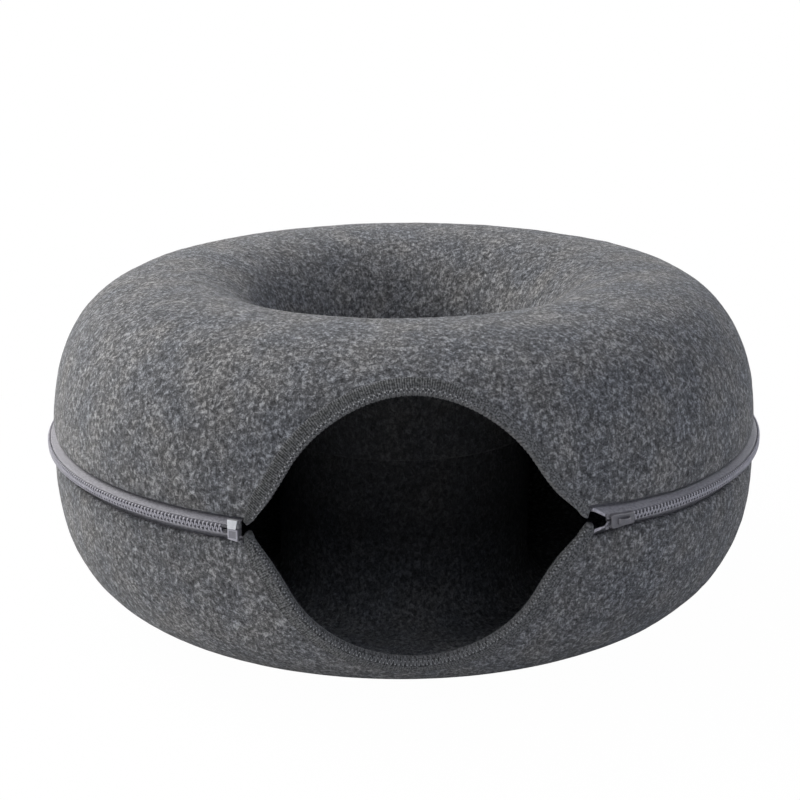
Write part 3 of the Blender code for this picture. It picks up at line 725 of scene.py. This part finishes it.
def seam_lengths(edge, parts):
    """Lengths along the edge at these parts of every stitch."""
    total, pitch = edge.lengths[-1], stitch_pitches[edge.side]
    stitches = int((total - 0.016) / pitch)
    begin = (total - stitches * pitch) / 2
    return begin + (np.arange(stitches)[:, None] + parts) * pitch


def seam_thread(name, edge, lengths, way, lift, outside, sunk, radius):
    """Thread by its way round the fold and its lift off the binding. On the mouth's right side it
    sinks into the knit."""
    turn = np.minimum(way / binding_fold, pi / 2)
    flat = np.maximum(way - binding_fold * pi / 2, 0)
    lift = lift - sunk * np.interp(lengths / edge.lengths[-1], plain_side, (0, 1))
    paths = []
    for height in (lift, lift + 0.001):
        size = binding_fold + height
        out = size * np.cos(turn) - flat
        if not outside:
            out = -felt_thickness - 1.05 * out
        paths.append(edge.spot(lengths, 0, -size * np.sin(turn), out))
    return thread_piece(name, paths[0], paths[1] - paths[0], radius)


def zigzag_seam(name, edge, near, far, outside, sunk):
    """Zigzag between two rows, near to and far from the fold, dipping at each needle."""
    part = np.arange(8) / 8
    lengths = seam_lengths(edge, part).reshape(1, -1)
    turn = 2 * pi * np.tile(part, lengths.size // 8)[None]
    way = near + (far - near) * (0.5 - 0.5 * np.cos(turn))
    lift = np.abs(np.sin(turn)) ** 0.6 * 0.00035 + 0.00012
    return seam_thread(name, edge, lengths, way, lift, outside, sunk, zigzag_thread)


def needle_locks(name, edge, part, way, sunk):
    """Short loops of the upper thread where the needle went in, on one row."""
    lengths = seam_lengths(edge, part + np.linspace(-0.13, 0.13, 4))
    lift = 0.0004 - 0.0003 * np.linspace(-1, 1, 4) ** 2
    way = np.full(lengths.shape, way)
    return seam_thread(name, edge, lengths, way, lift, True, sunk, lock_thread)


light_thread = thread_material("light_thread", 0.55)
grey_thread = thread_material("grey_thread", 0.24)
for label, _, side in halves:
    name, body, edge = label + "_binding_seam", label + "_half", edges[side]
    rows, sunk = needle_rows[side], seam_sunk[side]
    seam = zigzag_seam(name, edge, *rows, True, sunk)
    dress(seam, body, "knitted_binding", grey_thread)
    for label, part, way in (("_near", 0, rows[0]), ("_far", 0.5, rows[1])):
        locks = needle_locks(name + label, edge, part, way, sunk)
        dress(locks, body, "knitted_binding", light_thread)
    inside = zigzag_seam(name + "_inside", edge, *needle_rows[UPPER], False, 0)
    dress(inside, body, "knitted_binding", grey_thread)


# ZIP TAPES
# Woven polyester tape, 0.8 mm thick, sewn behind each half's cut edge. It bulges out through the
# gap between the halves and carries the teeth. At the mouth's right corner it is cut and tucked in.
tape_thickness = 0.0008
flange_height = 0.022
layer_gap = 0.0005
# Outer face of its free part: distance from the zip's line, and out from the flange
tape_profile = (
    *((0.0072, 0.0004), (0.0068, 0.0016), (0.0062, 0.0028), (0.0055, 0.0042), (0.0049, 0.0056)),
    *((0.0044, 0.0069), (0.0039, 0.0079), (0.0034, 0.0084), (0.0029, 0.0083), (0.0015, 0.0083)),
    (0.0006, 0.0083),
)
flange_radius = ring_radius - felt_thickness - layer_gap
tape_radius = ring_radius + 0.0028
tape_start = tips[UPPER][1] + 0.0016 / ring_radius
tape_end = 2 * pi + tips[UPPER][0] - 0.0016 / ring_radius
slider_nose = tips[UPPER][1] + 0.0132 / ring_radius
tail_end = slider_nose - 0.0080 / ring_radius
box_wall = 0.0013


def tape_face(face, side):
    """Outer face of a tape: inside the felt, out through the gap and along the teeth."""
    flange = np.linspace(face.run_at_rise(flange_height), face.run_at_rise(zip_gap / 2), 12)[:-2]
    radius, height = face.at(flange, -felt_thickness - layer_gap)
    free = [(flange_radius + out, zip_height + side * rise) for rise, out in tape_profile]
    points = np.array([*zip(radius, height), *free])
    tape = Face(points, -side)
    tape.fold = steps_of(points[: len(flange) + 1]).sum()
    return tape


def tape_share(turns):
    """How much of the tape's free part stands out: little in the tail."""
    return np.interp(turns, (tape_start, tail_end, slider_nose), (0.20, 0.30, 1))


def zip_tape(name, face, side):
    tape = tape_face(face, side)
    tail = np.linspace(tape_start, slider_nose, 25)
    rest = np.linspace(slider_nose, tape_end - box_wall / tape_radius, 560)[1:]
    turns = np.concatenate([tail, rest])[:, None]
    free = tape.fold + np.linspace(0, 1, 22)[1:] * (tape.length - tape.fold)
    runs = np.concatenate([np.linspace(0, tape.fold, 9), free])
    drawn = np.where(runs > tape.fold, tape.fold + tape_share(turns) * (runs - tape.fold), runs)
    outer = tape.at(drawn, 0)
    inner = tape.at(drawn[:, ::-1], -tape_thickness)
    radius, height = (np.concatenate([a, b], axis=1) for a, b in zip(outer, inner))
    points = place(turns, radius, height)
    over = np.concatenate([runs, runs[::-1]])
    piece = grid_piece(name, points, turns * tape_radius, over)
    return piece, tape


def weave_group():
    """Herringbone weave: the height and shade of its slanting threads."""
    inputs = {"Run": None, "Thread": 0.0011, "Band": 0.0030}
    given, made = new_group("herringbone", inputs, ("Shade", "Height"))
    split = parts_of(given["Run"])
    band = maths("PINGPONG", split[1], given["Band"])
    slant = add(split[0], multiply(band, 0.9))
    slant, cross = (maths("DIVIDE", way, given["Thread"]) for way in (slant, split[1]))
    height = add(wave(slant, "SINE"), multiply(wave(cross, "SINE"), 0.35))
    rough = swing(noise(given["Run"], 420.0, 3.0, 0.7, flat=True), 1.5)
    shade = add(multiply(height, 0.16), rough, 0.5, clamp=True)
    return give_out(made, Shade=shade, Height=height)


herringbone = weave_group()


def violet(value):
    """The zip's grey, with less green in it than the felt's."""
    return (value * 1.02, value * 0.99, value * 1.10)


def tape_material(name, dark, light):
    material, shader = new_material(name, 0.62, Sheen_Weight=0.3, Specular_IOR_Level=0.4)
    run, _ = maps_of(shader)
    cloth = from_group(herringbone, Run=run)
    colour = ramp(cloth["Shade"], (0.2, violet(dark)), (0.8, violet(light)))
    surface(shader, colour, cloth["Height"], 0.5, 0.00015)
    return material


zip_cloth = tape_material("woven_zip_tape", 0.175, 0.36)
tape_faces = {}
for label, face, side in halves:
    tape, tape_faces[side] = zip_tape(label + "_tape", face, side)
    dress(tape, label + "_half", "woven_zip_tape", zip_cloth, node=label + "_zip_tape")


# TAPE ENDS AND TAPE SEAMS
# The cut end of each tape is melted hard so that it can't fray, and shows pale beside the slider.
# Two rows of running stitches hold each tape to the felt, seen from inside the tunnel.
def tape_cut(name, tape):
    turns = np.linspace(tape_start + 0.0015 / ring_radius, slider_nose + 0.0010 / ring_radius, 24)
    share = tape_share(turns)
    run = tape.fold + share * (tape.length - tape.fold)
    radius, height = tape.at(run - 0.0008, -0.0002)
    path = place(turns, radius, height)
    outward = place(turns, radius + 0.001, height) - path
    width = np.interp(share, (0.2, 0.5, 1), (0.0014, 0.0012, 0.0006))[:, None]
    sideways = unit(np.cross(unit(np.gradient(path, axis=0)), outward)) * width
    outward = unit(outward) * width * 0.8
    return strand_piece(name, path[None], sideways[None], outward[None], corners=10)


def running_stitches(name, face, rise):
    """Short stitches inside a tape, each dipping into the cloth at its ends."""
    pitch = 0.0032
    count = int((tape_end - slider_nose) * flange_radius / pitch) - 6
    starts = slider_nose + (np.arange(count) + 3) * pitch / flange_radius
    part = np.linspace(0, 1, 6)
    turns = starts[:, None] + part * 0.78 * pitch / flange_radius
    lift = 0.0004 * np.sin(part * pi) ** 0.7 - 0.0001
    depth = felt_thickness + layer_gap + tape_thickness
    radius, height = face.at(face.run_at_rise(rise), -depth - lift)
    path = place(turns, radius, height)
    inner_radius, inner_height = face.at(face.run_at_rise(rise), -depth - lift - 0.001)
    return thread_piece(name, path, place(turns, inner_radius, inner_height) - path, 0.00028)


melted_tape = mottled(
    "melted_tape", violet(0.26), violet(0.66), 0.4, (700.0, 2.0, 0.6), 0.5, 0.0002,
    Specular_IOR_Level=0.45,
)
for label, face, side in halves:
    body = label + "_half"
    dress(tape_cut(label + "_tape_cut", tape_faces[side]), body, "woven_zip_tape", melted_tape)
    for row, rise in (("_near", 0.0125), ("_far", 0.0185)):
        stitches = running_stitches(label + "_tape_stitches" + row, face, rise)
        dress(stitches, body, "woven_zip_tape", grey_thread)


# ZIP TEETH
# Two rows of nylon monofilament, wound into coils and flattened, each sewn to its tape. A loop of
# one row stands between two loops of the other, and their heads lock past the middle.
tooth_pitch = 0.0035
teeth_lift = 0.0003
teeth_back = tape_radius + teeth_lift
teeth_depth = 0.0023
slider_length = 0.021
box_length = 0.0080
teeth_start = slider_nose + slider_length / tape_radius + 0.0003 / ring_radius
teeth_end = tape_end - (box_length + 0.0003) / tape_radius
teeth_count = round((teeth_end - teeth_start) * teeth_back / tooth_pitch)
box_turn = tape_end - box_length / 2 / tape_radius
box_face = teeth_back + 0.0034

# One loop in millimetres: height from the zip's line, distance out, half width, half thickness
tooth_shape = np.array(
    [
        *((3.05, 0.15, 0.50, 0.15), (3.00, 0.65, 0.66, 0.42), (2.70, 1.20, 0.74, 0.56)),
        *((2.10, 1.50, 0.68, 0.60), (1.30, 1.56, 0.60, 0.60), (0.45, 1.58, 0.62, 0.60)),
        *((-0.20, 1.54, 0.76, 0.58), (-0.65, 1.44, 0.78, 0.54), (-0.95, 1.28, 0.58, 0.42)),
        (-1.08, 1.15, 0.24, 0.2),
    ]
)
tooth_lean = 0.30


def teeth_row(name, side, shift):
    rise, out, half_width, half_depth = tooth_shape.T / 1000
    steps = (np.arange(teeth_count - 1) + shift) * tooth_pitch
    along = steps[:, None] + tooth_lean * (rise - rise.mean())
    turns = teeth_start + along / teeth_back
    height = zip_height + side * rise
    centres = place(turns, teeth_back + out, height)
    zeros = np.zeros_like(turns)
    sideways = np.stack([np.cos(turns), np.sin(turns), zeros], axis=-1) * half_width[:, None]
    climb, reach = np.gradient(height), np.gradient(out)
    size = np.hypot(climb, reach)
    lift, lean = np.abs(climb) / size, -np.sign(climb) * reach / size
    outward = np.stack([lift * np.sin(turns), -lift * np.cos(turns), zeros + lean], axis=-1)
    return strand_piece(name, centres, sideways, outward * half_depth[:, None], corners=8)


def coil_core(name, side):
    """Cord that runs inside the coil and fills it."""
    turns = np.linspace(teeth_start, teeth_end, 700)
    radius, height = teeth_back + 0.0005, zip_height + side * 0.0020
    path = place(turns, radius, height)
    outward = unit(place(turns, radius + 0.0005, height) - path) * 0.0007
    sideways = np.broadcast_to((0, 0, 0.0010), path.shape)
    return strand_piece(name, path[None], sideways[None], outward[None], corners=8)


def tone_group():
    """Slow blotches and fine grain of mouldings and paint."""
    inputs = {"Place": None, "Blotch": 260.0, "Grain": 2400.0}
    given, made = new_group("soft_blotches", inputs, ("Shade", "Rough", "Height"))
    blotch = noise(given["Place"], given["Blotch"], 3.0, 0.6)
    grain = noise(given["Place"], given["Grain"], 2.0, 0.6)
    shade = add(swing(blotch, 1.3), swing(grain, 0.5), 0.5, clamp=True)
    height = add(blotch, swing(grain, 0.4))
    return give_out(made, Shade=shade, Rough=blotch, Height=height)


soft_blotches = tone_group()


def hard_material(name, dark, light, roughness, bump, shadow=None, tint=violet, **constants):
    """Hard surface in two tones; a shadow tone darkens what lies deep under the box's face."""
    material, shader = new_material(name, 0.5, **constants)
    _, spot = maps_of(shader)
    tone = from_group(soft_blotches, Place=spot)
    colour = ramp(tone["Shade"], (0.15, tint(dark)), (0.85, tint(light)))
    if shadow:
        out = (sin(box_turn), -cos(box_turn), 0)
        inputs = {0: spot, 1: out}
        depth = put(spot.id_data, "VectorMath", inputs, operation="DOT_PRODUCT").outputs["Value"]
        face = box_face + axis_y * out[1]
        depth = mapped(depth, face - 0.0030, face)
        shades = ((0.0, (shadow / 2,) * 3), (0.8, (shadow,) * 3), (0.93, (1, 1, 1)))
        colour = times(colour, ramp(depth, *shades))
    rough = mapped(tone["Rough"], 0.0, 1.0, roughness - 0.08, roughness + 0.08)
    wire(shader.inputs["Roughness"], rough)
    surface(shader, colour, tone["Height"], bump, 0.0001)
    return material


nylon = hard_material("nylon_teeth", 0.34, 0.54, 0.32, 0.25, Specular_IOR_Level=0.55)
# The cord is real, but its dark colour is painted shade for the gaps between the teeth.
core_painted_shade = hard_material("coil_core", 0.07, 0.14, 0.8, 0.4)
for label, side, shift in (("upper", UPPER, 0.25), ("lower", LOWER, 0.75)):
    row = teeth_row(label + "_teeth", side, shift)
    dress(row, label + "_half", "nylon_teeth", nylon, node=label + "_zip_teeth")
    dress(coil_core(label + "_coil_core", side), label + "_half", "nylon_teeth", core_painted_shade)


# SLIDER
# Die-cast zinc, painted grey: a front plate with a rim down each side, splayed where the rows part,
# and a plate behind the tapes. The bridge on the front would hold a pull, and stands empty.
slider_turn = slider_nose + slider_length / 2 / tape_radius
front_plate = teeth_back + teeth_depth + 0.0005
slider_plate = 0.0015
tail_half_width, nose_half_width = 0.0045, 0.0053
slider_rim = 0.0006
slider_back_half = 0.0030
crown_width, crown_thickness, crown_height, crown_length = 0.0038, 0.0011, 0.0036, 0.0110


def turned(across, radius, height, azimuth):
    """Points drawn at azimuth 0, turned to their place on the ring."""
    x = across * cos(azimuth) + radius * sin(azimuth)
    y = axis_y + across * sin(azimuth) - radius * cos(azimuth)
    return np.stack(np.broadcast_arrays(x, y, height), axis=-1)


def bevelled(piece, width, segments=3):
    bevel = piece.modifiers.new("soft_edges", "BEVEL")
    bevel.width = width
    bevel.segments = segments
    bevel.limit_method = "ANGLE"
    bevel.angle_limit = radians(35)
    bevel.use_clamp_overlap = True
    return piece


def slider_front(name):
    part = (1 - np.cos(np.linspace(0, pi, 41))) / 2
    flare = np.interp(part, (0, 0.06, 0.16, 0.38, 0.55, 1), (0.55, 0.9, 1, 0.72, 0, 0))
    half = tail_half_width + smoothed(flare, 5) * (nose_half_width - tail_half_width)
    from_end = np.minimum(part, 1 - part) * slider_length
    rounded, tipped = (
        1 - np.sqrt(1 - (1 - np.clip(from_end / reach, 0, 1)) ** 2) for reach in (0.0022, 0.0016)
    )
    half = half - 0.0014 * rounded
    front = front_plate + slider_plate - 0.0007 * tipped
    rim_end = tape_radius + 0.0005 + 0.0024 * rounded
    round_over = np.linspace(0, pi / 2, 6)
    corner = 0.0008
    shape = [(rim_end, half - slider_rim), (rim_end, half)]
    for turn in round_over:
        out, side = corner * sin(turn), corner * cos(turn)
        shape.append((front - corner + out, half - corner + side))
    shape += [(front + 0.00012, half * 0.45), (front + 0.00016, half * 0)]
    mirrored = [(radius, -height) for radius, height in shape[-2::-1]]
    inside = [(front_plate + 0 * half, way * (half - slider_rim)) for way in (-1, 1)]
    radii, heights = np.array(shape + mirrored + inside).transpose(1, 2, 0)
    across = ((part - 0.5) * slider_length)[:, None]
    points = turned(across, radii, zip_height + heights, slider_turn)
    return bevelled(grid_piece(name, points, across, heights[0]), 0.00018)


def slider_back(name):
    half = slider_back_half
    turns = np.linspace(0, 2 * pi, 48, endpoint=False)
    across = np.sign(np.cos(turns)) * (slider_length / 2 - half) + half * np.cos(turns)
    height = half * np.sin(turns)
    front = (tape_radius - tape_thickness) * cos(pi / 44) - 0.0005
    rows = []
    for depth, size in ((0, 0.94), (1, 0.98), (3, 1), (12, 1), (14, 0.98), (15, 0.94)):
        inset = np.sign(across) * half * (1 - size)
        radius, rise = front - depth / 10000, zip_height + height * size
        rows.append(turned(across - inset, radius, rise, slider_turn))
    return grid_piece(name, np.array(rows), np.arange(6)[:, None] * 0.0003, turns * half)


def slider_crown(name):
    turn = np.linspace(0, pi, 33)
    reach, height = (crown_length - crown_thickness) / 2, crown_height - crown_thickness / 2
    across = reach * np.cos(turn)
    out = front_plate + slider_plate + 0.0001 + height * np.sin(turn) ** 0.5
    path = turned(across, out, zip_height, slider_turn)
    way = unit(np.gradient(path, axis=0))
    shade_share_above = np.broadcast_to((0.0, 0.0, 1.0), way.shape)
    broad = crown_width / 2 * (1 + 0.25 * np.abs(np.cos(turn)) ** 3)
    outward = unit(np.cross(way, shade_share_above)) * crown_thickness / 2
    sideways = shade_share_above * broad[:, None]
    return strand_piece(name, path[None], sideways[None], outward[None], corners=14)


slider_paint = hard_material(
    "painted_slider", 0.12, 0.18, 0.36, 0.15, Specular_IOR_Level=0.55, Coat_Weight=0.25,
    Coat_Roughness=0.25,
)
for name, make, node in (
    ("slider_front", slider_front, "slider_body"),
    ("slider_back", slider_back, "slider_back_plate"),
    ("slider_bridge", slider_crown, "slider_crown"),
):
    dress(make(name), "slider", "painted_slider", slider_paint, node=node)


# PIN AND BOX
# Pale acetal, moulded over the tapes' ends where the halves part: a block with a pin on the upper
# tape, and on the lower one a framed box whose socket takes the pin.
def moulded(name, node, width, body, material):
    """Piece with a node's outline, its flat faces made whole and its edges rounded."""
    shape = bmesh.new()
    shape.from_mesh(frame["nodes"][node].data)
    bmesh.ops.remove_doubles(shape, verts=shape.verts, dist=1e-6)
    bmesh.ops.dissolve_limit(
        shape, angle_limit=radians(1), verts=shape.verts, edges=shape.edges
    )
    mesh = bpy.data.meshes.new(name)
    shape.to_mesh(mesh)
    shape.free()
    piece = bevelled(add_piece(name, mesh), width)
    dress(piece, body, "pale_moulding", material, node=node)


pin_moulding = hard_material(
    "pale_moulding", 0.74, 0.90, 0.42, 0.2, 0.45, grey, Specular_IOR_Level=0.5
)
box_moulding = hard_material("box_moulding", 0.40, 0.54, 0.45, 0.2, 0.42, Specular_IOR_Level=0.45)
moulded("pin_block", "insertion_pin", 0.00030, "upper_half", pin_moulding)
moulded("pin_box", "retainer_box", 0.00022, "lower_half", box_moulding)


# TOP STOPS
# Two small clips of aluminium, pressed on the tapes' edges in front of the slider, which hold it at
# the closed end.
stop_metal = hard_material("stop_metal", 0.16, 0.26, 0.55, 0.3, Metallic=0.3)
for label in ("upper", "lower"):
    moulded(label + "_stop", label + "_top_stop", 0.00035, label + "_half", stop_metal)


# CAMERA, LIGHTS AND FLOOR
# A plain studio: pale sweep, large soft lamps from the left, a weak fill from the right and a low
# rim light from behind.
camera_back, camera_side, camera_height = 1.4996, -0.0353, 0.60004
camera_turn, camera_dip, camera_tilt = 0.02156, 0.2825, -0.0075
sensor_width, picture_pixels, focal_pixels = 36, 800, 1815.77
lamp_size, lamp_distance = 1.4, 2.4
warm, cool = (1.02, 1.0, 0.95), (0.95, 0.98, 1.05)


def pointing(turn, climb):
    """Way out from the tunnel at an azimuth and a height, both in radians."""
    level = cos(climb)
    return Vector((sin(turn) * level, -cos(turn) * level, sin(climb)))


def make_camera():
    data = bpy.data.cameras.new("camera")
    data.lens = focal_pixels * sensor_width / picture_pixels
    data.sensor_width = sensor_width
    camera = show("camera", data)
    camera.location = (camera_side, axis_y - camera_back, camera_height)
    back = pointing(-camera_turn, camera_dip)
    right = Vector((cos(camera_turn), -sin(camera_turn), 0))
    level = Matrix((right, back.cross(right), back)).transposed()
    camera.rotation_euler = (level @ Matrix.Rotation(camera_tilt, 3, "Z")).to_euler()
    bpy.context.scene.camera = camera


make_camera()


def soft_lamp(name, around, above, power, colour=(1, 1, 1)):
    """Round lamp by its azimuth and its height in degrees."""
    data = bpy.data.lights.new(name, "AREA")
    data.shape = "DISK"
    data.size = lamp_size
    data.energy = power
    data.color = colour
    lamp = show(name, data)
    away = pointing(radians(around), radians(above))
    lamp.location = Vector((0, 0, total_height / 2)) + lamp_distance * away
    lamp.rotation_euler = away.to_track_quat("Z", "Y").to_euler()


soft_lamp("key", -118, 36, 39, warm)
soft_lamp("side_key", -60, 38, 12, warm)
soft_lamp("high_key", -120, 55, 21)
soft_lamp("fill", 25, 55, 7.5, cool)
soft_lamp("side_fill", 95, 25, 7)
soft_lamp("front_card", 0, 20, 0.6)
soft_lamp("rim", 150, 8, 12)

world = bpy.data.worlds.new("studio")
bpy.context.scene.world = world
world.use_nodes = True
sky_tree = world.node_tree
rays = put(sky_tree, "LightPath").outputs
seen = maths("MAXIMUM", rays["Is Camera Ray"], rays["Is Glossy Ray"])
seen = maths("MAXIMUM", seen, rays["Is Transmission Ray"])
strength = mapped(seen, 0.0, 1.0, 0.16, 1.0)
tone = mixed(seen, (0.84, 0.94, 1.16, 1), (1, 1, 1, 1))
backdrop = sky_tree.nodes["Background"].inputs
wire(backdrop["Color"], tone)
wire(backdrop["Strength"], strength)

floor_data = bpy.data.meshes.new("floor")
reach = 6.0
corners = [(-reach, -reach, 0), (reach, -reach, 0), (reach, reach, 0), (-reach, reach, 0)]
floor_data.from_pydata(corners, [], [(0, 1, 2, 3)])
floor = show("floor", floor_data)
floor_paper, paper = new_material("pale_floor", 0.9)
paper_tree = paper.id_data
paper.inputs["Base Color"].default_value = (0.86, 0.86, 0.86, 1)
glow = put(paper_tree, "Emission", {"Color": (1, 1, 1, 1), "Strength": 1.0})
spot = put(paper_tree, "TexCoord").outputs["Object"]
away = put(paper_tree, "VectorMath", {0: spot}, operation="LENGTH").outputs["Value"]
share = mapped(away, 0.30, 0.75, 0.988, 1.0)
share = multiply(put(paper_tree, "LightPath").outputs["Is Camera Ray"], share)
blend = put(paper_tree, "MixShader", {0: share, 1: paper.outputs[0], 2: glow.outputs[0]})
wire(paper_tree.nodes["Material Output"].inputs["Surface"], blend.outputs[0])
floor_data.materials.append(floor_paper)

bpy.context.scene.view_settings.view_transform = "Standard"
